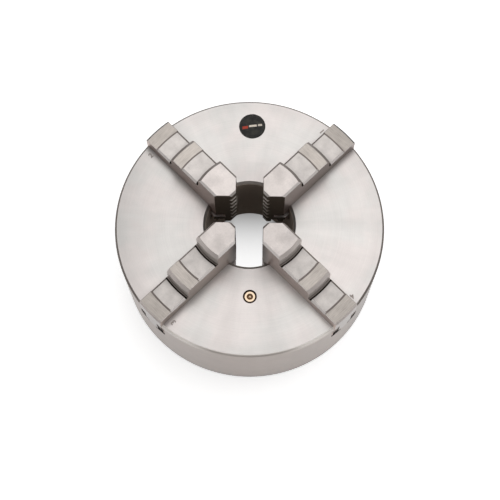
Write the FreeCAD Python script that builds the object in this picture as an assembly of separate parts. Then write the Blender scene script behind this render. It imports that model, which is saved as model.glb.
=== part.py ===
import FreeCAD, Part
import math
import os

# Four-jaw self-centring scroll chuck, lying on its back with the jaws up.
# Millimetres. The origin is on the spindle axis at the rear face, and +Z points out of the front face.
# Jaw 1 stands at 45 degrees, the others follow anticlockwise, and the two pinions lie along +X and -X.

Vector = FreeCAD.Vector
ORIGIN = Vector(0, 0, 0)
UP = Vector(0, 0, 1)
OUTWARD = Vector(1, 0, 0)

# Body
body_radius = 100.0
body_height = 75.0
front_edge_chamfer = 1.5
rear_edge_chamfer = 1.0
bore_radius = 32.5
bore_chamfer = 2.0
hub_wall = 9.5
register_radius = 82.5
register_depth = 5.0
cover_seat_step = 0.9

# Fits and clearances
running_fit = 0.05
slide_fit = 0.05
press_gap = 0.01
axial_play = 0.3
tooth_tip_gap = 0.5
overcut = 1.0

# Mounting holes in the rear face, for M10 screws
mount_hole_radius = 4.25
mount_hole_depth = 22.0
mount_circle_radius = 90.0
mount_hole_countersink = 0.75
jaw_count = 4
first_jaw_angle = 45.0

# Jaw guides, measured down from the front face
guide_lip = 6.0
guide_rib = 5.0
guide_groove_depth = 5.0
rib_end_gap = 0.2
rail_height = 4.9
rail_overhang = 1.0
channel_depth = 5.0
channel_land_half = 3.0

# Jaws, at the radius where they stand with the chuck at rest
jaw_half_width = 11.0
jaw_tip_radius = 16.0
jaw_tip_half_width = 2.1
nose_length = 27.4
middle_step_length = 29.2
outer_step_length = 27.9
nose_rise = 34.0
middle_rise = 22.0
outer_rise = 10.0
seat_length_middle = 17.5
seat_length_outer = 16.3
seat_relief = 0.4
undercut_width = 2.5
undercut_depth = 1.6
wall_chamfer = 2.5
seat_edge_chamfer = 1.5
tip_chamfer = 1.5
edge_break = 0.3
serration_pitch = 7.3
serration_height = 3.4
serration_depth = 1.3
serration_first_drop = 9.0
serration_count = 7
jaw_inward_travel = 13.3
foot_wing_rise = 2.0

# Scroll thread and the jaw teeth that run in it
scroll_radius = 72.0
scroll_pitch = 8.0
scroll_start_radius = 40.0
spiral_points_per_turn = 24
jaw_tooth_height = 5.0
jaw_tooth_flank_gap = 0.25
thread_edge_land = 0.9
tooth_outer_flank_radius = 42.0
tooth_inner_flank_radius = 80.0

# Bevel gearing between the pinions and the back of the scroll plate
gear_module = 2.0
pinion_teeth = 10
crown_teeth = 62
crown_rim = 0.2
pressure_angle = 25.0
gear_face_width = 11.5
gear_backlash = 0.4
crown_addendum_factor = 0.88
crown_dedendum_factor = 1.2
pinion_dedendum_factor = 1.15
flank_points = 4

# Pinions
pinion_angles = (0, 180)
pinion_journal_radius = 12.5
pinion_web = 1.45
pinion_collar_gap = 0.8
pinion_recess = 1.2
pinion_mouth_chamfer = 1.5
key_square = 11.2
key_socket_depth = 17.0
key_mouth_chamfer = 1.0
pinion_groove_width = 4.4
pinion_groove_depth = 2.5
pinion_screw_radius = 3.0
pinion_screw_dog_radius = 1.8
pinion_screw_sink = 1.0
pinion_screw_socket = 3.0
pinion_screw_socket_depth = 3.0

# Back cover and its screws
cover_thickness = 6.0
cover_edge_chamfer = 0.6
cover_boss_wall = 7.0
cover_boss_height = 10.5
cavity_gap = 0.4
cover_screw_count = 6
cover_screw_radius = 2.5
cover_screw_length = 16.0
cover_screw_head_radius = 4.3
cover_screw_head_height = 3.0
cover_screw_socket = 3.0
cover_screw_socket_depth = 2.0
first_cover_screw_angle = 30.0

# Badge and ball oiler stand this far to the right of the vertical centre line of the face
fitting_offset = 1.0

# Ball oiler in the front face
oiler_distance = 55.3
oiler_counterbore_radius = 5.0
oiler_counterbore_depth = 1.6
oiler_radius = 3.75
oiler_length = 8.0
oiler_sink = 0.4
oiler_mouth_radius = 2.35
oiler_throat_radius = 1.7
oiler_mouth_depth = 0.6
oiler_lip = 0.6
oiler_ball_radius = 2.0
oiler_bore_gap = 0.2
oiler_floor = 1.0
oiler_drain_radius = 0.8
oil_passage_radius = 1.5
spring_wire_radius = 0.2
spring_turns = 5

# Badge in the front face
badge_edge_distance = 21.0
badge_radius = 10.0
badge_recess_depth = 0.7
badge_rise = 1.2
badge_edge_land = 0.3

# Heights that follow from the values above
rib_top = body_height - guide_lip
rib_bottom = rib_top - guide_rib
rail_top = rib_bottom - slide_fit
jaw_base = rail_top - rail_height
tooth_tip = jaw_base - jaw_tooth_height
groove_root = tooth_tip - tooth_tip_gap
thread_crest = jaw_base - tooth_tip_gap
cavity_top = thread_crest + axial_play
land_height = tooth_tip - slide_fit
channel_floor = tooth_tip - channel_depth
cover_top = register_depth + cover_thickness
boss_top = cover_top + cover_boss_height
pinion_height = cover_top + pinion_web + running_fit + pinion_journal_radius

# Radii that follow from the values above
hub_radius = bore_radius + hub_wall
cavity_radius = scroll_radius + cavity_gap
cover_radius = register_radius - cover_seat_step
cover_screw_distance = (cavity_radius + cover_radius) / 2
boss_radius = hub_radius + cover_boss_wall
rail_half_width = jaw_half_width + rail_overhang
neck_half_width = jaw_half_width - guide_groove_depth
nose_radius = jaw_tip_radius + nose_length
middle_radius = nose_radius + middle_step_length
jaw_end_radius = middle_radius + outer_step_length
jaw_foot_radius = cavity_radius + jaw_inward_travel + tooth_tip_gap
jaw_flank_angle = 180.0 / jaw_count
pinion_pitch_radius = gear_module * pinion_teeth / 2
crown_radius = gear_module * crown_teeth / 2
crown_inner_radius = crown_radius - gear_face_width
pinion_screw_distance = (register_radius + body_radius) / 2
badge_distance = body_radius - badge_edge_distance
far = 2 * body_radius + jaw_end_radius


def turned(profile):
    """Solid of revolution about the chuck axis, from (radius, height) corners."""
    wire = Part.makePolygon([Vector(r, 0, z) for r, z in profile + profile[:1]])
    return Part.Face(wire).revolve(ORIGIN, UP, 360)


def disc(radius, low, high, x=0.0, y=0.0):
    return Part.makeCylinder(radius, high - low, Vector(x, y, low))


def ring(inner, outer, low, high):
    return turned([(inner, low), (outer, low), (outer, high), (inner, high)])


def prism_up(points, low, high):
    """Upright prism over (x, y) corners."""
    wire = Part.makePolygon([Vector(x, y, low) for x, y in points + points[:1]])
    return Part.Face(wire).extrude(Vector(0, 0, high - low))


def prism_out(points, start, end):
    """Prism along +X over (y, z) corners."""
    wire = Part.makePolygon([Vector(start, y, z) for y, z in points + points[:1]])
    return Part.Face(wire).extrude(Vector(end - start, 0, 0))


def mirrored(half):
    """Closed outline from its right half, listed from the bottom to the top."""
    return half + [(-y, z) for y, z in reversed(half)]


def about_axis(shape, angle):
    copy = shape.copy()
    copy.rotate(ORIGIN, UP, angle)
    return copy


def at_angle(distance, angle):
    return distance * math.cos(math.radians(angle)), distance * math.sin(math.radians(angle))


def jaw_angle(number):
    return first_jaw_angle + (number - 1) * 360.0 / jaw_count


def hexagon(across_flats, low, high, x, y):
    corner = across_flats / math.sqrt(3)
    points = []
    for k in range(6):
        dx, dy = at_angle(corner, 60 * k)
        points.append((x + dx, y + dy))
    return prism_up(points, low, high)


# Chuck body

def body_blank():
    return turned([
        (bore_radius + bore_chamfer, register_depth),
        (hub_radius, register_depth),
        (hub_radius, cavity_top),
        (cavity_radius, cavity_top),
        (cavity_radius, cover_top),
        (cover_radius, cover_top),
        (cover_radius, register_depth),
        (register_radius, register_depth),
        (register_radius, rear_edge_chamfer),
        (register_radius + rear_edge_chamfer, 0),
        (body_radius - rear_edge_chamfer, 0),
        (body_radius, rear_edge_chamfer),
        (body_radius, body_height - front_edge_chamfer),
        (body_radius - front_edge_chamfer, body_height),
        (bore_radius + bore_chamfer, body_height),
        (bore_radius, body_height - bore_chamfer),
        (bore_radius, register_depth + bore_chamfer),
    ])


def jaw_slot():
    """Space for one jaw along +X: guide slot, waist between the ribs, and rail and tooth channel."""
    return prism_out(mirrored([
        (channel_land_half, land_height),
        (channel_land_half, channel_floor),
        (rail_half_width + slide_fit, channel_floor),
        (rail_half_width + slide_fit, rib_bottom),
        (neck_half_width + rib_end_gap, rib_bottom),
        (neck_half_width + rib_end_gap, rib_top),
        (jaw_half_width + slide_fit, rib_top),
        (jaw_half_width + slide_fit, body_height + overcut),
    ]), 0, body_radius + overcut)


def pinion_bore():
    radius = pinion_journal_radius + running_fit
    start = cavity_radius - pinion_journal_radius
    bore = Part.makeCylinder(radius, far, Vector(start, 0, pinion_height), OUTWARD)
    mouth = Part.makeCone(radius, radius + 2 * pinion_mouth_chamfer, 2 * pinion_mouth_chamfer,
                          Vector(body_radius - pinion_mouth_chamfer, 0, pinion_height), OUTWARD)
    screw_hole = disc(pinion_screw_radius + press_gap, -overcut, pinion_height, pinion_screw_distance)
    return bore.fuse([mouth, screw_hole])


def mount_hole(angle):
    x, y = at_angle(mount_circle_radius, angle)
    hole = disc(mount_hole_radius, -overcut, mount_hole_depth, x, y)
    wide = mount_hole_radius + mount_hole_countersink
    sink = Part.makeCone(wide, mount_hole_radius, mount_hole_countersink, Vector(x, y, 0))
    return hole.fuse(sink)


def cover_screw_angles():
    return [first_cover_screw_angle + k * 360.0 / cover_screw_count for k in range(cover_screw_count)]


def oiler_hole():
    x = fitting_offset
    y = -oiler_distance
    low = body_height - oiler_sink - oiler_length
    high = body_height + overcut
    counterbore = disc(oiler_counterbore_radius, body_height - oiler_counterbore_depth, high, x, y)
    seat = disc(oiler_radius + press_gap, low, high, x, y)
    passage = disc(oil_passage_radius, cavity_top - overcut, low + overcut, x, y)
    return counterbore.fuse([seat, passage])


def badge_recess():
    low = body_height - badge_recess_depth
    return disc(badge_radius + slide_fit, low, body_height + overcut, fitting_offset, badge_distance)


def chuck_body():
    cuts = []
    for number in range(1, jaw_count + 1):
        cuts.append(about_axis(jaw_slot(), jaw_angle(number)))
        cuts.append(mount_hole(jaw_angle(number)))
    for angle in pinion_angles:
        cuts.append(about_axis(pinion_bore(), angle))
    for angle in cover_screw_angles():
        x, y = at_angle(cover_screw_distance, angle)
        top = register_depth + cover_screw_length + tooth_tip_gap
        cuts.append(disc(cover_screw_radius + press_gap, register_depth, top, x, y))
    cuts.append(oiler_hole())
    cuts.append(badge_recess())
    return body_blank().cut(cuts)


# Back cover and screws

def back_cover():
    edge = cover_edge_chamfer
    inner = hub_radius + slide_fit
    outer = cover_radius - slide_fit
    plate = turned([
        (inner + edge, register_depth),
        (outer - edge, register_depth),
        (outer, register_depth + edge),
        (outer, cover_top),
        (boss_radius, cover_top),
        (boss_radius, boss_top - edge),
        (boss_radius - edge, boss_top),
        (inner, boss_top),
        (inner, register_depth + edge),
    ])
    holes = []
    for angle in cover_screw_angles():
        x, y = at_angle(cover_screw_distance, angle)
        low = register_depth - overcut
        holes.append(disc(cover_screw_radius + slide_fit, low, cover_top + overcut, x, y))
        head_top = register_depth + cover_screw_head_height + slide_fit
        holes.append(disc(cover_screw_head_radius + slide_fit, low, head_top, x, y))
    return plate.cut(holes)


def cover_screw(angle):
    x, y = at_angle(cover_screw_distance, angle)
    neck = register_depth + cover_screw_head_height
    head = disc(cover_screw_head_radius, register_depth, neck, x, y)
    shank = disc(cover_screw_radius, neck, register_depth + cover_screw_length, x, y)
    socket_top = register_depth + cover_screw_socket_depth
    return head.fuse(shank).cut(hexagon(cover_screw_socket, register_depth - overcut, socket_top, x, y))


def cover_screws():
    return Part.makeCompound([cover_screw(angle) for angle in cover_screw_angles()])


# Scroll plate

def cone_height(drop_at_crown, radius):
    """Height of a gear cone with its apex where the pinion and chuck axes meet."""
    return pinion_height + drop_at_crown * radius / crown_radius


def spiral_edge(offset, turns_in, turns_out, height):
    """Archimedean spiral that lies offset outside the middle of the scroll groove."""
    points = []
    for k in range((turns_out - turns_in) * spiral_points_per_turn + 1):
        turns = turns_in + k / spiral_points_per_turn
        x, y = at_angle(scroll_start_radius + offset + scroll_pitch * turns, 360 * turns)
        points.append(Vector(x, y, height))
    curve = Part.BSplineCurve()
    curve.interpolate(points)
    return curve.toShape()


def scroll_thread():
    """Spiral ridge, half a pitch wide, trimmed to the plate's inner and outer edges."""
    turns_in = -1
    turns_out = math.ceil((scroll_radius - scroll_start_radius) / scroll_pitch) + 1
    low = groove_root - tooth_tip_gap
    inner = spiral_edge(scroll_pitch / 4, turns_in, turns_out, low)
    outer = spiral_edge(scroll_pitch * 3 / 4, turns_in, turns_out, low)
    starts = Part.makeLine(inner.Vertexes[0].Point, outer.Vertexes[0].Point)
    ends = Part.makeLine(inner.Vertexes[-1].Point, outer.Vertexes[-1].Point)
    ridge = Part.Face(Part.Wire([inner, ends, outer, starts])).extrude(Vector(0, 0, thread_crest - low))
    trim = ring(hub_radius + thread_edge_land, scroll_radius - thread_edge_land, low, thread_crest)
    return ridge.common(trim)


def crown_tooth():
    """One bevel tooth along +X that points down at the pinion."""
    pitch_half = math.pi * gear_module / 4 - gear_backlash / 4
    slope = math.tan(math.radians(pressure_angle))
    addendum = crown_addendum_factor * gear_module
    dedendum = crown_dedendum_factor * gear_module
    tip = (pitch_half - addendum * slope, pinion_pitch_radius - addendum)
    root = (pitch_half + dedendum * slope, pinion_pitch_radius + dedendum)
    buried = (root[0], root[1] + gear_module / 2)
    return bevel_loft(mirrored([tip, root, buried]))


def bevel_loft(section):
    """Solid between a (side, height) outline at the big end of the gear and its image nearer the apex."""
    wires = []
    for x in (crown_radius, crown_inner_radius):
        scale = x / crown_radius
        points = [Vector(x, scale * y, pinion_height + scale * z) for y, z in section + section[:1]]
        wires.append(Part.makePolygon(points))
    return Part.makeLoft(wires, True, True)


def scroll_blank():
    root = pinion_pitch_radius + crown_dedendum_factor * gear_module
    inner = hub_radius + running_fit
    rim = boss_radius
    shoulder = crown_radius + crown_rim
    flange = pinion_height + pinion_journal_radius + tooth_tip_gap
    return turned([
        (inner, boss_top + axial_play),
        (rim, boss_top + axial_play),
        (rim, cone_height(root, rim)),
        (shoulder, cone_height(root, shoulder)),
        (shoulder, flange),
        (scroll_radius, flange),
        (scroll_radius, groove_root),
        (inner, groove_root),
    ])


def scroll_plate():
    teeth = []
    for k in range(crown_teeth):
        teeth.append(about_axis(crown_tooth(), (k + 0.5) * 360.0 / crown_teeth))
    return scroll_blank().fuse([scroll_thread()] + teeth).removeSplitter()


# Pinions

def involute_point(base, radius, half_angle_at_base):
    """Point (side, height) on the right flank of the tooth that stands upright."""
    roll = math.acos(min(1.0, base / radius))
    angle = half_angle_at_base - (math.tan(roll) - roll)
    return radius * math.sin(angle), radius * math.cos(angle)


def pinion_tooth():
    base = pinion_pitch_radius * math.cos(math.radians(pressure_angle))
    tip = pinion_pitch_radius + gear_module
    root = pinion_pitch_radius - pinion_dedendum_factor * gear_module
    alpha = math.radians(pressure_angle)
    involute = math.tan(alpha) - alpha
    half = math.pi / (2 * pinion_teeth) - gear_backlash / 4 / pinion_pitch_radius + involute
    buried = root - gear_module / 2
    flank = [(buried * math.sin(half), buried * math.cos(half))]
    for k in range(flank_points):
        radius = base + (tip - base) * k / (flank_points - 1)
        flank.append(involute_point(base, radius, half))
    return bevel_loft(mirrored(flank))


def pinion_gear():
    root = pinion_pitch_radius - pinion_dedendum_factor * gear_module
    scale = crown_inner_radius / crown_radius
    core = Part.makeCone(root * scale, root, gear_face_width,
                         Vector(crown_inner_radius, 0, pinion_height), OUTWARD)
    teeth = []
    for k in range(pinion_teeth):
        tooth = pinion_tooth()
        tooth.rotate(Vector(0, 0, pinion_height), OUTWARD, k * 360.0 / pinion_teeth)
        teeth.append(tooth)
    return core.fuse(teeth)


def pinion():
    """Pinion along +X, with a tooth upright in a gap of the crown."""
    end = body_radius - pinion_recess
    start = crown_radius + pinion_collar_gap
    root = pinion_pitch_radius - pinion_dedendum_factor * gear_module
    axle = Part.makeCylinder(root, pinion_collar_gap, Vector(crown_radius, 0, pinion_height), OUTWARD)
    length = end - start - key_mouth_chamfer
    journal = Part.makeCylinder(pinion_journal_radius, length, Vector(start, 0, pinion_height), OUTWARD)
    nose = Part.makeCone(pinion_journal_radius, pinion_journal_radius - key_mouth_chamfer, key_mouth_chamfer,
                         Vector(end - key_mouth_chamfer, 0, pinion_height), OUTWARD)
    solid = pinion_gear().fuse([axle, journal, nose])
    return solid.cut([key_socket(end), pinion_groove()]).removeSplitter()


def key_socket(end):
    half = key_square / 2
    low = pinion_height - half
    high = pinion_height + half
    square = [(-half, low), (half, low), (half, high), (-half, high)]
    hole = prism_out(square, end - key_socket_depth, end + overcut)
    wide = half * math.sqrt(2)
    mouth = Part.makeCone(wide - key_mouth_chamfer, wide, key_mouth_chamfer,
                          Vector(end - key_mouth_chamfer, 0, pinion_height), OUTWARD)
    return hole.fuse(mouth)


def pinion_groove():
    start = Vector(pinion_screw_distance - pinion_groove_width / 2, 0, pinion_height)
    outer = Part.makeCylinder(pinion_journal_radius + overcut, pinion_groove_width, start, OUTWARD)
    inner = Part.makeCylinder(pinion_journal_radius - pinion_groove_depth, pinion_groove_width, start, OUTWARD)
    return outer.cut(inner)


def pinion_screw():
    """Dog-point screw along +X whose tip stands in the pinion's groove."""
    x = pinion_screw_distance
    shoulder = pinion_height - pinion_journal_radius - axial_play
    tip = pinion_height - pinion_journal_radius + pinion_groove_depth - axial_play
    shank = disc(pinion_screw_radius, pinion_screw_sink, shoulder, x)
    dog = disc(pinion_screw_dog_radius, shoulder, tip, x)
    socket_top = pinion_screw_sink + pinion_screw_socket_depth
    return shank.fuse(dog).cut(hexagon(pinion_screw_socket, 0, socket_top, x, 0))


def pinion_screws():
    return Part.makeCompound([about_axis(pinion_screw(), angle) for angle in pinion_angles])


# Jaws

def jaw_bar(top, chamfer):
    """Full-depth bar with its guide grooves, chamfered along its top sides."""
    return prism_out(mirrored([
        (rail_half_width, jaw_base),
        (rail_half_width, rail_top),
        (neck_half_width, rail_top),
        (neck_half_width, rib_top + slide_fit),
        (jaw_half_width, rib_top + slide_fit),
        (jaw_half_width, top - chamfer),
        (jaw_half_width - chamfer, top),
    ]), 0, far)


def seat_block(top, radius):
    """Ground step that ends in an arc about the chuck axis."""
    return jaw_bar(top, seat_edge_chamfer).common(disc(radius, 0, top))


def relief_block(top, inner, outer):
    """Lower part of a step, outside its ground seat."""
    return jaw_bar(top, edge_break).common(ring(inner, outer, 0, top))


def nose_corners(inset):
    """Tip flat, two slanted flanks and open sides, drawn in by an even inset."""
    tip = jaw_tip_radius + inset
    half = jaw_tip_half_width - inset * math.tan(math.radians(90 - jaw_flank_angle) / 2)
    side = rail_half_width + overcut
    back = tip + (side - half) / math.tan(math.radians(jaw_flank_angle))
    return [(tip, -half), (back, -side), (far, -side), (far, side), (back, side), (tip, half)]


def nose_space(top):
    """Everything outside the tip flat and flanks, with their upper edges broken."""
    shoulder = top - edge_break
    wires = []
    for inset, height in ((0, shoulder), (edge_break, top)):
        corners = nose_corners(inset)
        wires.append(Part.makePolygon([Vector(x, y, height) for x, y in corners + corners[:1]]))
    return prism_up(nose_corners(0), 0, shoulder).fuse(Part.makeLoft(wires, True, True))


def step_heights():
    return body_height + nose_rise, body_height + middle_rise, body_height + outer_rise


def jaw_steps():
    nose, middle, outer = step_heights()
    middle_seat_end = nose_radius + seat_length_middle
    outer_seat_end = middle_radius + seat_length_outer
    blocks = [
        seat_block(middle, middle_seat_end),
        relief_block(middle - seat_relief, middle_seat_end, middle_radius),
        seat_block(outer, outer_seat_end),
        relief_block(outer - seat_relief, outer_seat_end, jaw_end_radius),
    ]
    return seat_block(nose, nose_radius).fuse(blocks).removeSplitter()


def arc_chamfer(radius, top, size):
    """Cutter that bevels the upper edge of an arc about the chuck axis."""
    return turned([
        (radius - size, top),
        (radius, top - size),
        (radius + size, top - size),
        (radius + size, top + overcut),
        (radius - size, top + overcut),
    ])


def undercut(radius, seat):
    return ring(radius, radius + undercut_width, seat - undercut_depth, seat + undercut_depth)


def crosswise(corners):
    """Cutter across the whole jaw over (x, z) corners."""
    wide = jaw_half_width + overcut
    wire = Part.makePolygon([Vector(x, -wide, z) for x, z in corners + corners[:1]])
    return Part.Face(wire).extrude(Vector(0, 2 * wide, 0))


def tip_bevel(top):
    x = jaw_tip_radius
    return crosswise([
        (x - overcut, top - tip_chamfer - overcut),
        (x + tip_chamfer + overcut, top + overcut),
        (x - overcut, top + overcut),
    ])


def serrations(top):
    cuts = []
    half = serration_height / 2
    spread = overcut * half / serration_depth
    for k in range(serration_count):
        height = top - serration_first_drop - k * serration_pitch
        cuts.append(crosswise([
            (jaw_tip_radius - overcut, height - half - spread),
            (jaw_tip_radius + serration_depth, height),
            (jaw_tip_radius - overcut, height + half + spread),
        ]))
    return cuts


def jaw_tooth(radius):
    """Crescent tooth: its outer flank is rounder, and its inner flank flatter, than any turn of the groove."""
    half = scroll_pitch / 4 - jaw_tooth_flank_gap
    top = jaw_base + tooth_tip_gap
    low = tooth_tip
    outer = disc(tooth_outer_flank_radius, low, top, radius + half - tooth_outer_flank_radius)
    inner = disc(tooth_inner_flank_radius, low, top, radius - half - tooth_inner_flank_radius)
    lead = scroll_pitch / (2 * math.pi)
    mean = (hub_radius + scroll_radius) / 2
    crescent = outer.cut(inner)
    crescent.rotate(Vector(radius, 0, 0), UP, -math.degrees(math.atan(lead / mean)))
    side = jaw_half_width
    window = prism_up([(radius - scroll_pitch, -side), (radius + scroll_pitch, -side),
                       (radius + scroll_pitch, side), (radius - scroll_pitch, side)], low, top)
    return crescent.common(window)


def jaw_teeth(number):
    """Teeth from the tip to the foot, set along the jaw so that all the jaws stand at one radius."""
    start = scroll_start_radius + scroll_pitch * jaw_angle(number) / 360.0
    first = math.ceil((jaw_tip_radius - start) / scroll_pitch)
    last = math.floor((jaw_foot_radius - scroll_pitch / 4 - start) / scroll_pitch)
    return [jaw_tooth(start + k * scroll_pitch) for k in range(first, last + 1)]


def jaw_foot():
    """Foot under the jaw's outer end, outside the scroll plate, with a keel that runs on the land."""
    foot = prism_out(mirrored([
        (channel_land_half, tooth_tip),
        (channel_land_half, tooth_tip + foot_wing_rise),
        (rail_half_width, tooth_tip + foot_wing_rise),
        (rail_half_width, rail_top),
    ]), jaw_foot_radius, far)
    return foot.common(disc(jaw_end_radius, tooth_tip, rail_top))


def jaw(number):
    nose, middle, outer = step_heights()
    solid = jaw_steps().fuse([jaw_foot()] + jaw_teeth(number))
    solid = solid.common(nose_space(nose))
    cuts = [
        undercut(nose_radius, middle),
        undercut(middle_radius, outer),
        arc_chamfer(nose_radius, nose, wall_chamfer),
        arc_chamfer(middle_radius, middle - seat_relief, wall_chamfer),
        arc_chamfer(jaw_end_radius, outer - seat_relief, seat_edge_chamfer),
        tip_bevel(nose),
    ]
    return about_axis(solid.cut(cuts + serrations(nose)), jaw_angle(number))


# Ball oiler

def oiler_top():
    return body_height - oiler_sink


def ball_height():
    lip_low = oiler_top() - oiler_mouth_depth - oiler_lip
    contact = math.sqrt(oiler_ball_radius ** 2 - oiler_throat_radius ** 2)
    return lip_low - contact - slide_fit


def oiler_body():
    top = oiler_top()
    low = top - oiler_length
    throat = top - oiler_mouth_depth
    lip_low = throat - oiler_lip
    bore = oiler_ball_radius + oiler_bore_gap
    shell = turned([
        (oiler_drain_radius, low),
        (oiler_radius, low),
        (oiler_radius, top),
        (oiler_mouth_radius, top),
        (oiler_throat_radius, throat),
        (oiler_throat_radius, lip_low),
        (bore, lip_low),
        (bore, low + oiler_floor),
        (oiler_drain_radius, low + oiler_floor),
    ])
    return shell.translated(Vector(fitting_offset, -oiler_distance, 0))


def oiler_ball():
    return Part.makeSphere(oiler_ball_radius, Vector(fitting_offset, -oiler_distance, ball_height()))


def oiler_spring():
    low = oiler_top() - oiler_length + oiler_floor + spring_wire_radius
    high = ball_height() - oiler_ball_radius - spring_wire_radius
    coil_radius = oiler_ball_radius - 2 * spring_wire_radius
    helix = Part.makeHelix((high - low) / spring_turns, high - low, coil_radius)
    wire = Part.Wire(helix.Edges)
    section = Part.Wire([Part.makeCircle(spring_wire_radius, Vector(coil_radius, 0, 0), Vector(0, 1, 0))])
    coil = wire.makePipeShell([section], True, True)
    return coil.translated(Vector(fitting_offset, -oiler_distance, low))


# Badge

def badge_base():
    low = body_height - badge_recess_depth
    return disc(badge_radius, low, body_height, fitting_offset, badge_distance)


def badge_dome():
    radius = badge_radius
    low = body_height
    edge = low + badge_edge_land
    crown = badge_rise - badge_edge_land
    sphere = (radius ** 2 + crown ** 2) / (2 * crown)
    slice_angle = math.asin(radius / sphere) / 2
    middle = Vector(sphere * math.sin(slice_angle), 0, low + badge_rise - sphere * (1 - math.cos(slice_angle)))
    arc = Part.Arc(Vector(radius, 0, edge), middle, Vector(0, 0, low + badge_rise)).toShape()
    sides = Part.makePolygon([Vector(0, 0, low + badge_rise), Vector(0, 0, low), Vector(radius, 0, low),
                              Vector(radius, 0, edge)])
    face = Part.Face(Part.Wire([arc] + sides.Edges))
    return face.revolve(ORIGIN, UP, 360).translated(Vector(fitting_offset, badge_distance, 0))


def save(name, shape):
    shape.exportStep("parts/" + name + ".step")
    print(name, "solids", len(shape.Solids), "volume", round(shape.Volume, 1), "valid", shape.isValid())


def main():
    os.makedirs("parts", exist_ok=True)
    save("chuck_body", chuck_body())
    save("back_cover", back_cover())
    save("cover_screws", cover_screws())
    save("scroll_plate", scroll_plate())
    for number in range(1, jaw_count + 1):
        save("jaw_%d" % number, jaw(number))
    for side, angle in zip(("right", "left"), pinion_angles):
        save("pinion_" + side, about_axis(pinion(), angle))
    save("pinion_screws", pinion_screws())
    save("oiler_body", oiler_body())
    save("oiler_ball", oiler_ball())
    save("oiler_spring", oiler_spring())
    save("badge_base", badge_base())
    save("badge_dome", badge_dome())


main()
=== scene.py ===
import math

import bpy
from mathutils import Euler, Matrix, Vector


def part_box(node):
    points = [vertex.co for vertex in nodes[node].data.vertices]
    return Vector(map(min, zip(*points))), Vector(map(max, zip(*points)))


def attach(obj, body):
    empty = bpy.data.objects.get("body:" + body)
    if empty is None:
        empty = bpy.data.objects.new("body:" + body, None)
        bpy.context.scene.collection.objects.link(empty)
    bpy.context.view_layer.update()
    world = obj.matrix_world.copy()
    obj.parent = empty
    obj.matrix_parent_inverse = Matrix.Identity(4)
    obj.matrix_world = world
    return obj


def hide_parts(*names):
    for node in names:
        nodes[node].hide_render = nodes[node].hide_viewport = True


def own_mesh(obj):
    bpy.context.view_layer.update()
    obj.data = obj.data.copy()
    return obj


# Four-jaw self-centring scroll chuck, lying on its back. Metres, +Z out of the front face.
# Finishes are worked out in millimetres, because that is how the chuck is drawn.

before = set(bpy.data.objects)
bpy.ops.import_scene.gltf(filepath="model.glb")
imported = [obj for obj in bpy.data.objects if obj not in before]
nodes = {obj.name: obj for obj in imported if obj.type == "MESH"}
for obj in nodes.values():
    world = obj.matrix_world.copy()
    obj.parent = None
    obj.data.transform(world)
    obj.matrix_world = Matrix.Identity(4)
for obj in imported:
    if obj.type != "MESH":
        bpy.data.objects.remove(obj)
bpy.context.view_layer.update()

MM = 0.001
JAWS = 4

# Sizes read from the drawn chuck, in millimetres
body_low, body_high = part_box("chuck_body")
face_height = body_high.z / MM
rim_radius = body_high.x / MM
jaw_top = max(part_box("jaw_%d" % n)[1].z for n in range(1, JAWS + 1)) / MM
bore_radius = 32.5
bore_chamfer = 2.0
rim_chamfer = 1.5
oiler_low, oiler_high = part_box("oiler_body")
oiler_middle = (oiler_low + oiler_high) / 2 / MM
badge_low, badge_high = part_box("badge_dome")
badge_middle = (badge_low + badge_high) / 2 / MM
counterbore_radius = 5.0
channel_floor = 49.05
rib_top = 69.0
rail_top = 63.95
neck_half_width = 6.0

# Jaw steps, as heights below the jaw's top and radii from the spindle axis
middle_seat_drop = 12.0
outer_seat_drop = 24.0
nose_radius = 43.4
middle_radius = 72.6
seat_ends = (60.9, 88.9)
jaw_half_width = 11.0
undercut_width = 2.5
undercut_depth = 1.6
tip_chamfer = 1.5


# ---------------------------------------------------------------- shader maths

class Value:
    """A socket of a finish, so that a finish can be written as sums."""

    def __init__(self, tree, socket):
        self.tree = tree
        self.socket = socket

    def sum(self, operation, *others, clamp=False):
        node = self.tree.nodes.new("ShaderNodeMath")
        node.operation = operation
        node.use_clamp = clamp
        for place, item in zip(node.inputs, (self, *others)):
            plug(self.tree, place, item)
        return Value(self.tree, node.outputs[0])

    def __add__(self, other):
        return self.sum("ADD", other)

    __radd__ = __add__

    def __sub__(self, other):
        return self.sum("SUBTRACT", other)

    def __rsub__(self, other):
        return (self * -1) + other

    def __mul__(self, other):
        return self.sum("MULTIPLY", other)

    __rmul__ = __mul__

    def __truediv__(self, other):
        return self.sum("DIVIDE", other)

    def __rtruediv__(self, other):
        return self.sum("POWER", -1) * other

    def __pow__(self, other):
        return self.sum("POWER", other)

    def __abs__(self):
        return self.sum("ABSOLUTE")

    def least(self, other):
        return self.sum("MINIMUM", other)

    def most(self, other):
        return self.sum("MAXIMUM", other)

    def held(self):
        """The value kept between 0 and 1."""
        return self.sum("ADD", 0.0, clamp=True)


def plug(tree, place, item):
    if isinstance(item, Value):
        tree.links.new(item.socket, place)
    else:
        place.default_value = item


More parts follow.
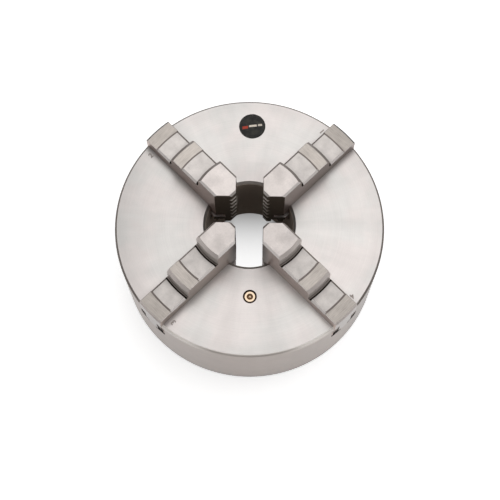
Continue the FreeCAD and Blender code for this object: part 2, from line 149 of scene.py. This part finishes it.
class Finish:
    """A material and the few moves that its node tree is made with."""

    def __init__(self, name):
        self.material = bpy.data.materials.new(name)
        self.material.use_nodes = True
        self.tree = self.material.node_tree
        self.tree.nodes.clear()

    def node(self, kind, settings=None, inputs=None, output=0):
        """One node: its settings first, then the values or links of its sockets."""
        node = self.tree.nodes.new(kind)
        for name, value in (settings or {}).items():
            setattr(node, name, value)
        for name, item in (inputs or {}).items():
            plug(self.tree, node.inputs[name], item)
        return Value(self.tree, node.outputs[output])

    def parts(self, vector):
        """The x, y and z of a vector."""
        node = self.tree.nodes.new("ShaderNodeSeparateXYZ")
        plug(self.tree, node.inputs[0], vector)
        return [Value(self.tree, socket) for socket in node.outputs]

    def place(self):
        """Where on the chuck, in millimetres."""
        return [axis / MM for axis in self.parts(self.node("ShaderNodeTexCoord", output="Object"))]

    def facing(self):
        """Which way the surface looks, in the chuck's own axes."""
        return self.parts(self.node("ShaderNodeTexCoord", output="Normal"))

    def vector(self, x, y, z):
        return self.node("ShaderNodeCombineXYZ", inputs={0: x, 1: y, 2: z})

    def ramp(self, value, low, high, start=0.0, end=1.0):
        """Smooth climb from start to end while the value goes from low to high."""
        return self.node("ShaderNodeMapRange", {"interpolation_type": "SMOOTHSTEP"},
                         {"Value": value, "From Min": low, "From Max": high,
                          "To Min": start, "To Max": end})

    def band(self, value, low, high, soft):
        """1 between low and high, 0 outside, with soft edges."""
        return self.ramp(value, low - soft, low + soft) \
            * self.ramp(value, high - soft, high + soft, 1.0, 0.0)

    def noise(self, x, y, z, detail=2.0, rough=0.5):
        """Noise from 0 to 1 over coordinates that are already scaled."""
        return self.node("ShaderNodeTexNoise", {"noise_dimensions": "3D"},
                         {"Vector": self.vector(x, y, z), "Scale": 1.0,
                          "Detail": detail, "Roughness": rough})

    def blend(self, amount, first, second):
        """Colour that goes from the first to the second."""
        node = self.tree.nodes.new("ShaderNodeMix")
        node.data_type = "RGBA"
        node.clamp_factor = True
        for name, item in (("Factor_Float", amount), ("A_Color", first), ("B_Color", second)):
            socket = next(s for s in node.inputs if s.identifier == name)
            plug(self.tree, socket, item)
        return Value(self.tree, next(s for s in node.outputs if s.identifier == "Result_Color"))

    def tint(self, colour, amount):
        """A colour made lighter or darker by a factor that varies over the surface."""
        if not isinstance(colour, Value):
            colour = colour[:3]
        return self.node("ShaderNodeVectorMath", {"operation": "SCALE"}, {0: colour, "Scale": amount})

    def bump(self, height, distance, strength=1.0):
        return self.node("ShaderNodeBump", None,
                         {"Height": height, "Distance": distance, "Strength": strength})

    def shader(self, colour, roughness, metallic, normal=None, **fixed):
        """A surface shader. Fixed values go straight to its sockets."""
        shader = self.tree.nodes.new("ShaderNodeBsdfPrincipled")
        plug(self.tree, shader.inputs["Base Color"], colour)
        plug(self.tree, shader.inputs["Roughness"], roughness)
        plug(self.tree, shader.inputs["Metallic"], metallic)
        if normal is not None:
            plug(self.tree, shader.inputs["Normal"], normal)
        for name, value in fixed.items():
            shader.inputs[name.replace("_", " ")].default_value = value
        return Value(self.tree, shader.outputs[0])

    def sooty(self, amount, shader, colour):
        """The shader, going over to a dull dark film that hardly shines: painted shade for hollows and for
        faces that lie in shade.
        """
        film = self.shader(colour, 0.8, 0.0, None, Specular_IOR_Level=0.08)
        return self.node("ShaderNodeMixShader", None, {0: amount, 1: shader, 2: film})

    def end(self, shader):
        node = self.tree.nodes.new("ShaderNodeOutputMaterial")
        self.tree.links.new(shader.socket, node.inputs[0])
        return self.material

    def surface(self, *values, **fixed):
        return self.end(self.shader(*values, **fixed))


def colour(red, green, blue):
    """A colour as it is mixed on screen, turned into light."""
    def light(step):
        part = step / 255.0
        return part / 12.92 if part <= 0.04045 else ((part + 0.055) / 1.055) ** 2.4
    return (light(red), light(green), light(blue), 1.0)


def dress(node, material):
    """Gives a drawn piece its finish."""
    slots = nodes[node].data.materials
    slots.clear()
    slots.append(material)


# ---------------------------------------------------------------- marks left by the tools

def turned_lay(finish, r, x, y, pitch):
    """Fine rings left by a lathe tool or a rotary grinder, from 0 to 1."""
    wander = finish.noise(x * 0.05, y * 0.05, 0.0, 1.0)
    return finish.noise(r / pitch + wander * 2.0, x * 0.01, y * 0.01, 3.0, 0.65)


def clouds(finish, x, y, z, size):
    """Soft blotches of handling and oil, from 0 to 1."""
    return finish.noise(x / size, y / size, z / size, 3.0, 0.55)


def scratches(finish, along, across, z, length, width):
    """Long thin marks, from 0 to 1, mostly 0."""
    streak = finish.noise(along / length, across / width, z / width, 2.0, 0.6)
    return finish.ramp(streak, 0.62, 0.74)


# ---------------------------------------------------------------- finishes

def body_iron():
    finish = Finish("ground_body_iron")
    x, y, z = finish.place()
    nx, ny, nz = finish.facing()
    r = (x * x + y * y) ** 0.5
    reach = r.most(1.0)
    outward = (nx * x + ny * y) / reach
    aside = abs(x) / reach

    up = finish.ramp(nz, 0.85, 0.97)
    front_face = up * finish.ramp(z, face_height - 0.3, face_height - 0.1)
    rim_wall = finish.ramp(outward, 0.9, 0.98) * finish.ramp(r, rim_radius - 1.2, rim_radius - 0.6)
    rim_edge = finish.ramp(r, rim_radius - rim_chamfer - 0.1, rim_radius - rim_chamfer) * (1 - rim_wall) \
        * finish.ramp(z, face_height - rim_chamfer - 0.2, face_height - rim_chamfer) * (1 - front_face)
    bore_wall = finish.ramp(r, bore_radius + 0.1, bore_radius + 0.4, 1.0, 0.0)
    bore_mouth = bore_radius + bore_chamfer
    bore_edge = finish.ramp(r, bore_mouth - 0.1, bore_mouth + 0.1, 1.0, 0.0) * (1 - bore_wall)
    inside = (1 - front_face) * (1 - rim_wall) * (1 - bore_wall)
    from_oiler = ((x - oiler_middle.x) ** 2 + (y - oiler_middle.y) ** 2) ** 0.5
    oiler_recess_shade = finish.ramp(from_oiler, counterbore_radius, counterbore_radius + 0.2, 1.0, 0.0)

    # Painted sheen: light and dark fans standing in for what a round-ground face reflects, and the finer
    # lay over them
    sheen_fans = finish.noise(x / reach * 3.2, y / reach * 3.2, 0.0, 2.0, 0.6)
    hair = finish.noise(x / reach * 26.0, y / reach * 26.0, r * 0.02, 2.0, 0.6)
    lay = turned_lay(finish, r, x, y, 0.55)
    blotch = clouds(finish, x, y, z, 30.0)
    smear = clouds(finish, x, y, z, 9.0)
    wall_lines = finish.noise(z * 2.2, x * 0.02, y * 0.02, 3.0, 0.65)
    fleck = finish.noise(x * 1.4, y * 1.4, z * 1.4, 2.0, 0.7)

    face_shade = 1.0 + (sheen_fans - 0.5) * 0.24 + (hair - 0.5) * 0.07 + (lay - 0.5) * 0.18 \
        + (fleck - 0.5) * 0.12 + (smear - 0.5) * 0.14
    face = finish.blend(finish.ramp(blotch, 0.35, 0.65), colour(215, 208, 205), colour(210, 207, 204))
    from_slot = abs(x - y).least(abs(x + y)) * math.sqrt(0.5) - jaw_half_width
    # Painted shade on the face: contact shadow along the jaw slots, deeper beside the near sides of jaws 1
    # to 3, darker towards the left and near the bore at top and bottom; the face also darkens towards the
    # rim.
    painted_face_shade = finish.ramp(from_slot, -1.0, 7.0, 0.84, 1.0) * finish.ramp(r, 86.0, 96.0, 1.0, 0.94) \
        * finish.ramp(x, -100.0, -55.0, 0.8, 1.0)
    shaded_slot_side = finish.ramp(y * (abs(x) - abs(y)), 0.0, 10.0) * finish.ramp(x - y, 20.0, 60.0, 1.0, 0.0)
    painted_face_shade = painted_face_shade * (1.0 - finish.ramp(abs(y) - abs(x), 4.0, 16.0) * finish.ramp(r, 36.0, 60.0, 0.14, 0.0))
    painted_face_shade = painted_face_shade * (1.0 - shaded_slot_side * finish.ramp(from_slot, -1.0, 6.0, 0.42, 0.0))
    face = finish.tint(face, face_shade * painted_face_shade)
    # Painted shade on the rim wall: darker where it turns away from the front, more on the right, and
    # towards the bottom.
    painted_wall_shading = finish.ramp(ny, -0.6, -0.2, 1.0, 0.78) * finish.ramp(nx, 0.68, 0.92, 1.0, 0.66) \
        * finish.ramp(z, 0.0, 14.0, 0.84, 1.0)
    wall_shade = (1.0 + (wall_lines - 0.5) * 0.34 + (blotch - 0.5) * 0.22 + (smear - 0.5) * 0.2) * painted_wall_shading
    wall = finish.tint(colour(150, 138, 131), wall_shade)
    # Painted highlight on the front-left and front-right of the rim wall, below the chamfer.
    painted_highlight = finish.band(aside, 0.34, 0.64, 0.12) * finish.ramp(ny, -0.4, -0.2, 1.0, 0.0)
    wall = finish.blend(painted_highlight * finish.ramp(z, face_height - 9.0, face_height - rim_chamfer) * 0.6,
                        wall, colour(214, 206, 200))
    shaded_rim_edge = finish.ramp(ny, 0.05, 0.3).most(finish.ramp(aside, 0.72, 0.84))
    rough_iron = finish.tint(colour(140, 133, 129), 1.0 + (fleck - 0.5) * 0.4 + (blotch - 0.5) * 0.3)

    paint = finish.blend(front_face, rough_iron, face)
    paint = finish.blend(rim_wall, paint, wall)
    # Painted highlight also on the inner part of the rim chamfer, and painted shade on the chamfer where
    # it faces the back or the sides.
    painted_highlight = painted_highlight.most(finish.ramp(r, rim_radius - rim_chamfer, rim_radius - 0.7, 1.0, 0.0))
    front_edge = finish.blend(painted_highlight, colour(186, 178, 172), colour(250, 244, 238))
    paint = finish.blend(rim_edge, paint, finish.blend(shaded_rim_edge, front_edge, colour(120, 113, 108)))
    # Bore chamfer, with painted shade towards its left and right.
    mouth = finish.tint(colour(196, 189, 183), finish.ramp(aside, 0.45, 0.8, 1.0, 0.55))
    paint = finish.blend(bore_edge * finish.ramp(z, face_height - 4, face_height - 3), paint, mouth)
    # Painted shade: the oiler's counterbore is painted dark brown.
    paint = finish.blend(oiler_recess_shade, paint, colour(62, 48, 38))
    # Painted shade: a dark band along the foot of the rim wall, where it meets the floor.
    foot_contact_shade = finish.ramp(z, 1.4, 2.6, 1.0, 0.0) * finish.ramp(r, 97.0, 98.0)
    paint = finish.blend(foot_contact_shade, paint, colour(74, 68, 64))

    roughness = 0.36 + (lay - 0.5) * 0.10 + (blotch - 0.5) * 0.06 + inside * 0.14
    height = front_face * lay + (1 - front_face) * wall_lines
    iron = finish.shader(paint, roughness, 0.82, finish.bump(height, 0.00002, 0.5))
    # Painted shade: the slot channels and the metal by the bore go over to a dark dull film; the bore wall
    # goes over to a pale dull film that hardly shines.
    slot_depth = inside * finish.band(z, channel_floor - 0.2, rib_top, 0.1) * (1 - bore_edge)
    by_bore = inside * finish.ramp(r, 44.0, 50.0, 1.0, 0.0) * (1 - bore_edge)
    shade_film_colour = finish.blend(bore_wall, colour(30, 26, 23), colour(188, 175, 163))
    shade_film_colour = finish.tint(shade_film_colour, 1.0 + (wall_lines - 0.5) * 0.3)
    return finish.end(finish.sooty((bore_wall + slot_depth + by_bore * 0.88).held(), iron, shade_film_colour))


def cover_iron():
    finish = Finish("turned_cover_iron")
    x, y, z = finish.place()
    r = (x * x + y * y) ** 0.5
    lay = turned_lay(finish, r, x, y, 0.8)
    blotch = clouds(finish, x, y, z, 24.0)
    shade = 1.0 + (lay - 0.5) * 0.22 + (blotch - 0.5) * 0.2
    paint = finish.tint(colour(168, 161, 156), shade)
    return finish.surface(paint, 0.38 + (lay - 0.5) * 0.12, 0.85, finish.bump(lay, 0.00003, 0.6))


def blackened_steel():
    finish = Finish("black_oxide_screws")
    x, y, z = finish.place()
    grain = finish.noise(x * 1.5, y * 1.5, z * 1.5, 3.0, 0.6)
    worn = finish.ramp(grain, 0.55, 0.8)
    paint = finish.blend(worn * 0.5, colour(44, 42, 41), colour(96, 92, 88))
    return finish.surface(paint, 0.42 + (grain - 0.5) * 0.2, 0.7, finish.bump(grain, 0.00002, 0.5))


def scroll_steel():
    finish = Finish("oiled_scroll_steel")
    x, y, z = finish.place()
    r = (x * x + y * y) ** 0.5
    lay = turned_lay(finish, r, x, y, 0.6)
    oil = finish.ramp(clouds(finish, x, y, z, 14.0), 0.4, 0.7)
    dry = finish.tint(colour(150, 145, 140), 0.85 + lay * 0.3)
    paint = finish.blend(oil * 0.5, dry, colour(94, 84, 70))
    return finish.surface(paint, 0.36 - oil * 0.12, 0.9, finish.bump(lay, 0.00002, 0.5),
                          Coat_Weight=0.25, Coat_Roughness=0.12)


def jaw_steel(number):
    """Hardened jaw: ground seats, milled reliefs and sides, with painted light and shade on its edges,
    walls and facets, and a dark dull film of painted shade on the tip flanks, lug ends and grooves.
    """
    finish = Finish("hardened_jaw_%d" % number)
    upper = number <= 2
    # Painted light: each jaw's tones are scaled by its place, the two upper jaws lighter than the two
    # lower, and each outer relief by its own level.
    jaw_light_level = (0.92, 1.0, 0.86, 0.84)[number - 1]
    outer_relief_light = (0.82, 0.88, 0.88, 0.92)[number - 1]
    turn = math.radians(45 + 90 * (number - 1))
    ca, sa = math.cos(turn), math.sin(turn)
    x, y, z = finish.place()
    nx, ny, nz = finish.facing()
    u = x * ca + y * sa
    v = y * ca - x * sa
    nu = nx * ca + ny * sa
    nv = abs(ny * ca - nx * sa)
    near = finish.ramp((ny * ca - nx * sa) * (-1.0 if ca > 0 else 1.0), 0.3, 0.5)
    r = (x * x + y * y) ** 0.5
    drop = jaw_top - z

    up = finish.ramp(nz, 0.9, 0.97)
    middle = finish.band(drop, middle_seat_drop - 0.5, middle_seat_drop + 0.9, 0.1) * up
    outer = finish.band(drop, outer_seat_drop - 0.5, outer_seat_drop + 0.9, 0.1) * up
    middle_relief = middle * finish.ramp(r, seat_ends[0] - 0.05, seat_ends[0] + 0.05)
    outer_relief = outer * finish.ramp(r, seat_ends[1] - 0.05, seat_ends[1] + 0.05)
    seat_line = middle * finish.band(r, seat_ends[0] - 0.7, seat_ends[0] + 0.6, 0.15) \
        + outer * finish.band(r, seat_ends[1] - 0.7, seat_ends[1] + 0.6, 0.15)
    side = finish.ramp(nv, 0.9, 0.98)
    edge = finish.band(nz, 0.5, 0.86, 0.05)
    # Painted shade on each seat beside the step wall that rises from it.
    seat_shade_by_wall = middle * finish.ramp(r, nose_radius + 2.0, nose_radius + 7.0, 1.0, 0.0) \
        + outer * finish.ramp(r, middle_radius + 2.0, middle_radius + 7.0, 1.0, 0.0)
    # Painted shade: the lug ends of the jaw's foot, down in the slot channel, go over to the dark dull
    # film.
    lug_end = finish.ramp(nu, 0.85, 0.95) * finish.ramp(z, rail_top, rail_top + 0.1, 1.0, 0.0) \
        * finish.ramp(abs(v), neck_half_width, neck_half_width + 0.4)
    # Painted shade on the chamfers that face the back.
    shaded_back_edge = edge * finish.ramp(ny, 0.1, 0.3)
    # Painted shade: the tip flanks, which face each other across the bore, go over to the dark dull film.
    flank = finish.ramp(nu, -0.65, -0.55, 1.0, 0.0) * finish.ramp(abs(nz), 0.1, 0.2, 1.0, 0.0)
    teeth = finish.ramp(nu, -0.5, -0.4, 1.0, 0.0)
    tip_face = teeth * finish.ramp(drop, tip_chamfer + 0.1, tip_chamfer + 0.2, 1.0, 0.0)
    teeth_painted_light = teeth * finish.ramp(nz, 0.3, 0.4)
    teeth_painted_shade = teeth * finish.ramp(nz, -0.4, -0.3, 1.0, 0.0)
    end = finish.ramp(nu, 0.85, 0.95)
    step_wall = end * finish.ramp(r, middle_radius + 1.0, middle_radius + 2.0, 1.0, 0.0)

    def undercut(radius, seat):
        """The groove at the foot of a step wall, and its outer half, which takes painted shade."""
        low = finish.band(drop, seat + 0.05, seat + undercut_depth + 0.1, 0.05)
        groove = low * finish.band(r, radius - 0.1, radius + undercut_width + 0.1, 0.05)
        return groove, groove * finish.ramp(r, radius + 0.9, radius + 1.2)

    first_groove, first_groove_shade = undercut(nose_radius, middle_seat_drop)
    second_groove, second_groove_shade = undercut(middle_radius, outer_seat_drop)

    mottle = clouds(finish, u, v, z, 7.0)
    broad = clouds(finish, u, v, z, 18.0)
    grain = finish.noise(u * 1.2, v * 1.2, z * 1.2, 3.0, 0.65)
    milled = finish.noise(u * 3.0, v * 0.12, z * 0.5, 2.0, 0.6)
    ground = finish.noise(u * 0.15, v * 3.0, z * 3.0, 2.0, 0.6)
    marks = scratches(finish, u, v, z, 12.0, 0.7)

    seats = (middle + outer).held()
    bright = finish.blend(seats, colour(209, 201, 197), colour(198, 192, 188))
    bright = finish.tint(bright, (jaw_light_level + (mottle - 0.5) * 0.5 + (broad - 0.5) * 0.3 + (grain - 0.5) * 0.24)
                         * (1.0 - seat_shade_by_wall * 0.16))
    bright = finish.blend(marks * 0.4, bright, colour(176, 168, 164))
    dull = finish.tint(colour(187, 179, 172), jaw_light_level + (milled - 0.5) * 0.7 + (mottle - 0.5) * 0.4)
    # Side walls with painted light and shade: a tone for each jaw, lighter near the face, and on the lower
    # jaws darker towards the tip.
    wall = (colour(146, 132, 127), colour(182, 165, 158),
            colour(187, 173, 166), colour(222, 206, 199))[number - 1]
    painted_wall_shading = finish.ramp(z, face_height + 1.0, face_height + 12.0, 1.12, 1.0)
    if not upper:
        painted_wall_shading = painted_wall_shading * finish.ramp(u, 24.0, 33.0, 0.32, 1.0)
    wall = finish.tint(wall, (1.0 + (ground - 0.5) * 0.22 + (mottle - 0.5) * 0.2) * painted_wall_shading)
    # Step walls: painted light, pale on the lower jaws and dark on the upper.
    step = colour(128, 120, 116) if upper else colour(217, 208, 202)
    step = finish.tint(step, 1.0 + (mottle - 0.5) * 0.2)
    # Painted highlight on the chamfers, brighter on the lower jaws.
    edge_painted_light = colour(226, 219, 215) if upper else colour(250, 243, 239)

    paint = finish.blend(side, wall, finish.tint(wall, 0.96))
    paint = finish.blend(up, paint, bright)
    paint = finish.blend(middle_relief, paint, dull)
    paint = finish.blend(outer_relief, paint, finish.tint(dull, outer_relief_light))
    paint = finish.blend(seat_line.held(), paint, colour(108, 100, 96))
    # End faces: painted light, lighter on the upper jaws than on the lower.
    end_tone = colour(184, 176, 172) if upper else colour(158, 151, 147)
    paint = finish.blend(end, paint, finish.tint(end_tone, 1.0 + (mottle - 0.5) * 0.2))
    paint = finish.blend(step_wall, paint, step)
    # Painted highlight on the chamfers, and a light tone on those that face outward.
    paint = finish.blend(edge, paint, edge_painted_light)
    paint = finish.blend(edge * finish.ramp(nu, 0.4, 0.5), paint, colour(222, 212, 207))
    # Painted shade on the back-facing chamfers, darkest at the outer end of the upper jaws, with a dark
    # line at the end of their outer relief.
    paint = finish.blend(shaded_back_edge, paint, colour(112, 104, 99) if upper else colour(134, 126, 121))
    if upper:
        paint = finish.blend(shaded_back_edge * finish.ramp(r, 97.5, 98.5), paint, colour(58, 53, 50))
        paint = finish.blend(outer_relief * finish.ramp(r, 99.0, 99.8) * 0.7, paint, colour(98, 91, 86))
    # Painted light and shade at the tip: facets that face down dark, facets that face up light, and the
    # tip face lighter on the upper jaws than on the lower.
    paint = finish.blend(teeth_painted_shade, paint, colour(40, 34, 31))
    paint = finish.blend(teeth_painted_light, paint, colour(206, 197, 190))
    paint = finish.blend(tip_face, paint, colour(190, 182, 177) if upper else colour(130, 122, 117))
    # Painted shade in the grooves at the foot of the step walls.
    paint = finish.blend((first_groove + second_groove).held(), paint, colour(128, 120, 115))

    roughness = 0.34 + (milled - 0.5) * 0.12 + (mottle - 0.5) * 0.08 + side * 0.06
    height = milled * (middle_relief + outer_relief + end).held() + ground * side + grain * 0.5
    steel = finish.shader(paint, roughness, 0.8 - (edge * near + step_wall).held() * 0.5,
                          finish.bump(height, 0.00002, 0.5))
    shade_film_colour = finish.blend(flank, colour(40, 33, 29), colour(86, 76, 66))
    shade_film_colour = finish.tint(shade_film_colour, 1.0 + (grain - 0.5) * 0.3)
    return finish.end(finish.sooty((flank + lug_end + first_groove_shade + second_groove_shade).held(), steel, shade_film_colour))


def pinion_steel():
    finish = Finish("hardened_pinion_steel")
    x, y, z = finish.place()
    grain = finish.noise(x * 1.3, y * 1.3, z * 1.3, 3.0, 0.6)
    smoke = clouds(finish, x, y, z, 6.0)
    paint = finish.blend(finish.ramp(smoke, 0.35, 0.7), colour(128, 122, 117), colour(84, 78, 74))
    paint = finish.tint(paint, 0.9 + grain * 0.2)
    return finish.surface(paint, 0.34 + (grain - 0.5) * 0.15, 0.85, finish.bump(grain, 0.00002, 0.5))


def oiler_brass():
    finish = Finish("turned_oiler_brass")
    x, y = finish.place()[:2]
    across = x - oiler_middle.x
    along = y - oiler_middle.y
    r = (across * across + along * along) ** 0.5
    lay = finish.noise(r * 5.0, across * 0.1, along * 0.1, 2.0, 0.6)
    paint = finish.tint(colour(232, 208, 180), 0.92 + lay * 0.16)
    # Painted shade in the mouth of the oiler, around its ball.
    mouth_shade = finish.ramp(r, 2.3, 2.5, 1.0, 0.0)
    paint = finish.blend(mouth_shade * 0.8, paint, colour(128, 96, 66))
    return finish.surface(paint, 0.26 + (lay - 0.5) * 0.1, 0.9, finish.bump(lay, 0.00002, 0.4))


def bright_steel(name, shade):
    finish = Finish(name)
    x, y, z = finish.place()
    grain = finish.noise(x * 2.0, y * 2.0, z * 2.0, 2.0, 0.5)
    return finish.surface(finish.tint(shade, 0.94 + grain * 0.12), 0.12 + grain * 0.08, 1.0)


def badge_gloss():
    """Black domed badge with plain blocks of colour in a band that climbs to the right."""
    finish = Finish("black_domed_badge")
    x, y, z = finish.place()
    across = x - badge_middle.x
    along = y - badge_middle.y - across * 0.12
    red_block = finish.band(across, -7.4, -3.2, 0.3) * finish.band(along, -1.9, 0.3, 0.3)
    pale_block = finish.band(across, -2.4, 3.4, 0.2) * finish.band(along, -0.9, 0.6, 0.25)
    end_block = finish.band(across, 4.3, 7.4, 0.2) * finish.band(along, -0.7, 0.9, 0.25)
    sheen = clouds(finish, x, y, z, 4.0)
    paint = finish.blend(finish.ramp(sheen, 0.35, 0.7), colour(18, 16, 15), colour(50, 48, 42))
    paint = finish.blend(red_block * 0.9, paint, colour(190, 64, 42))
    paint = finish.blend((pale_block + end_block * 0.8).held(), paint, colour(238, 226, 212))
    return finish.surface(paint, 0.16, 0.0, None, Specular_IOR_Level=0.22)


def badge_metal():
    finish = Finish("badge_disc_metal")
    x, y, z = finish.place()
    brushed = finish.noise(x * 0.3, y * 4.0, z * 4.0, 2.0, 0.6)
    return finish.surface(finish.tint(colour(206, 206, 206), 0.9 + brushed * 0.2), 0.3, 1.0)


dress("chuck_body", body_iron())
dress("back_cover", cover_iron())
black_oxide = blackened_steel()
dress("cover_screws", black_oxide)
dress("pinion_screws", black_oxide)
dress("scroll_plate", scroll_steel())
for n in range(1, JAWS + 1):
    dress("jaw_%d" % n, jaw_steel(n))
pinions = pinion_steel()
dress("pinion_right", pinions)
dress("pinion_left", pinions)
dress("oiler_body", oiler_brass())
# The steel ball is tinted brass: a painted reflection of the brass cup round it.
dress("oiler_ball", bright_steel("polished_ball", colour(206, 184, 158)))
dress("badge_base", badge_metal())
dress("badge_dome", badge_gloss())


# ---------------------------------------------------------------- oiler spring

def coil_spring():
    """Coil spring under the oiler's ball, built to the size of the drawn spring, which it replaces."""
    low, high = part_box("oiler_spring")
    middle = (low + high) / 2
    wire = 0.2 * MM
    coil = high.x - middle.x - wire
    turns = 5
    steps = 28
    sides = 10
    mesh = bpy.data.meshes.new("spring_coil")
    points = []
    for step in range(turns * steps + 1):
        angle = 2 * math.pi * step / steps
        share = step / (turns * steps)
        height = low.z + wire + share * (high.z - low.z - 2 * wire)
        for side in range(sides):
            around = 2 * math.pi * side / sides
            reach = coil + wire * math.cos(around)
            points.append((middle.x + reach * math.cos(angle), middle.y + reach * math.sin(angle),
                           height + wire * math.sin(around)))
    faces = []
    for step in range(turns * steps):
        for side in range(sides):
            first, second = step * sides + side, step * sides + (side + 1) % sides
            faces.append((first, first + sides, second + sides, second))
    faces.append(tuple(range(sides)))
    faces.append(tuple(reversed(range(turns * steps * sides, turns * steps * sides + sides))))
    mesh.from_pydata(points, [], faces)
    mesh.shade_smooth()
    mesh.materials.append(bright_steel("spring_wire", colour(170, 168, 164)))
    spring = bpy.data.objects.new("spring_coil", mesh)
    bpy.context.scene.collection.objects.link(spring)
    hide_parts("oiler_spring")
    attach(spring, "chuck")
    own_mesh(spring)


coil_spring()


# ---------------------------------------------------------------- stamped slot numbers

def stamp_ink():
    finish = Finish("stamped_number")
    x, y, z = finish.place()
    grain = finish.noise(x * 2.5, y * 2.5, z * 2.5, 2.0, 0.6)
    return finish.surface(finish.tint(colour(148, 140, 135), 0.8 + grain * 0.4), 0.5, 0.6)


def stamp_number(number, material):
    """Plain slot number beside the outer end of its jaw slot."""
    text = bpy.data.curves.new("slot_number_%d" % number, "FONT")
    text.body = str(number)
    text.size = 5.4 * MM
    text.align_x = "CENTER"
    text.align_y = "CENTER"
    text.extrude = 0.02 * MM
    text.offset = 0.2 * MM
    turn = math.radians(45 + 90 * (number - 1))
    piece = bpy.data.objects.new("slot_number_%d" % number, text)
    bpy.context.scene.collection.objects.link(piece)
    place = Vector((91.4 * MM, 15.1 * MM, (face_height + 0.005) * MM))
    piece.rotation_euler = Euler((0, 0, turn - math.pi / 2))
    piece.location = Matrix.Rotation(turn, 3, "Z") @ place
    text.materials.append(material)
    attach(piece, "chuck")


ink = stamp_ink()
for n in range(1, JAWS + 1):
    stamp_number(n, ink)


# ---------------------------------------------------------------- floor, light and camera

def pale_floor():
    mesh = bpy.data.meshes.new("floor")
    reach = 6.0
    mesh.from_pydata([(-reach, -reach, 0), (reach, -reach, 0), (reach, reach, 0), (-reach, reach, 0)],
                     [], [(0, 1, 2, 3)])
    floor = bpy.data.objects.new("floor", mesh)
    floor.location.z = -0.0001
    bpy.context.scene.collection.objects.link(floor)
    finish = Finish("pale_floor")
    x, y = finish.place()[:2]
    # Under the chuck the floor is painted: painted shade that deepens towards the back and beside a lit
    # strip between the jaws, over a darker base colour; outside it glows evenly.
    under = finish.ramp((x * x + y * y) ** 0.5, 45.0, 60.0, 1.0, 0.0)
    shade_under_chuck = ((y + 20.0) / 52.0).most(0.0) ** 2.2
    glow = finish.ramp(abs(x), 11.0, 26.0, 1.0, 0.05) * (0.935 - shade_under_chuck * 0.58).most(0.3)
    glow = glow * under + (1 - under) * 0.62
    shader = finish.tree.nodes.new("ShaderNodeBsdfPrincipled")
    plug(finish.tree, shader.inputs["Base Color"],
         finish.blend(under, (0.93, 0.93, 0.93, 1.0), (0.35, 0.35, 0.35, 1.0)))
    shader.inputs["Roughness"].default_value = 0.9
    shader.inputs["Specular IOR Level"].default_value = 0.0
    path = finish.tree.nodes.new("ShaderNodeLightPath")
    rays = [Value(finish.tree, path.outputs[kind])
            for kind in ("Is Camera Ray", "Is Glossy Ray", "Is Transmission Ray")]
    seen = (rays[0] + rays[1] + rays[2]).held()
    plug(finish.tree, shader.inputs["Emission Color"], finish.vector(glow, glow, glow))
    plug(finish.tree, shader.inputs["Emission Strength"], seen)
    end = finish.tree.nodes.new("ShaderNodeOutputMaterial")
    finish.tree.links.new(shader.outputs[0], end.inputs[0])
    mesh.materials.append(finish.material)


def lamp(name, place, aim, wide, mouth_shade, brightness):
    """Softbox of a plain brightness, whatever its size."""
    light = bpy.data.lights.new(name, "AREA")
    light.shape = "RECTANGLE"
    light.size = wide
    light.size_y = mouth_shade
    light.energy = brightness * math.pi * wide * mouth_shade
    box = bpy.data.objects.new(name, light)
    box.location = place
    box.rotation_euler = (Vector(aim) - Vector(place)).to_track_quat("-Z", "Y").to_euler()
    bpy.context.scene.collection.objects.link(box)


pale_floor()
lamp("overhead_softbox", (0.3, 0.6, 1.7), (0.0, 0.1, 0.08), 2.4, 2.2, 1.26)
lamp("front_panel", (0.1, -1.4, 0.5), (0.0, 0.0, 0.05), 2.4, 0.7, 0.36)
lamp("left_panel", (-1.5, 0.1, 0.85), (0.0, 0.0, 0.07), 2.4, 0.9, 0.55)
lamp("right_panel", (1.5, 0.1, 0.85), (0.0, 0.0, 0.07), 2.4, 0.9, 0.55)
lamp("rear_panel", (0.0, 1.6, 0.8), (0.0, 0.0, 0.07), 2.4, 0.8, 0.55)

world = bpy.data.worlds.new("studio")
world.use_nodes = True
world.node_tree.nodes["Background"].inputs["Color"].default_value = (1.0, 0.99, 0.98, 1.0)
world.node_tree.nodes["Background"].inputs["Strength"].default_value = 0.17
bpy.context.scene.world = world

camera_data = bpy.data.cameras.new("camera")
camera_data.sensor_width = 36.0
camera_data.lens = 81.57
camera = bpy.data.objects.new("camera", camera_data)
bpy.context.scene.collection.objects.link(camera)
camera_turn = math.radians(1.1)
camera_tilt = math.radians(-0.324)
look_down = math.radians(72.625)
camera.location = Matrix.Rotation(camera_turn, 3, "Z") @ Vector((0.000251, -0.26908, 0.8715))
camera.rotation_euler = (Matrix.Rotation(camera_turn, 3, "Z")
                         @ Matrix.Rotation(math.pi / 2 - look_down, 3, "X")
                         @ Matrix.Rotation(camera_tilt, 3, "Z")).to_euler()
bpy.context.scene.camera = camera
bpy.context.scene.view_settings.view_transform = "Standard"
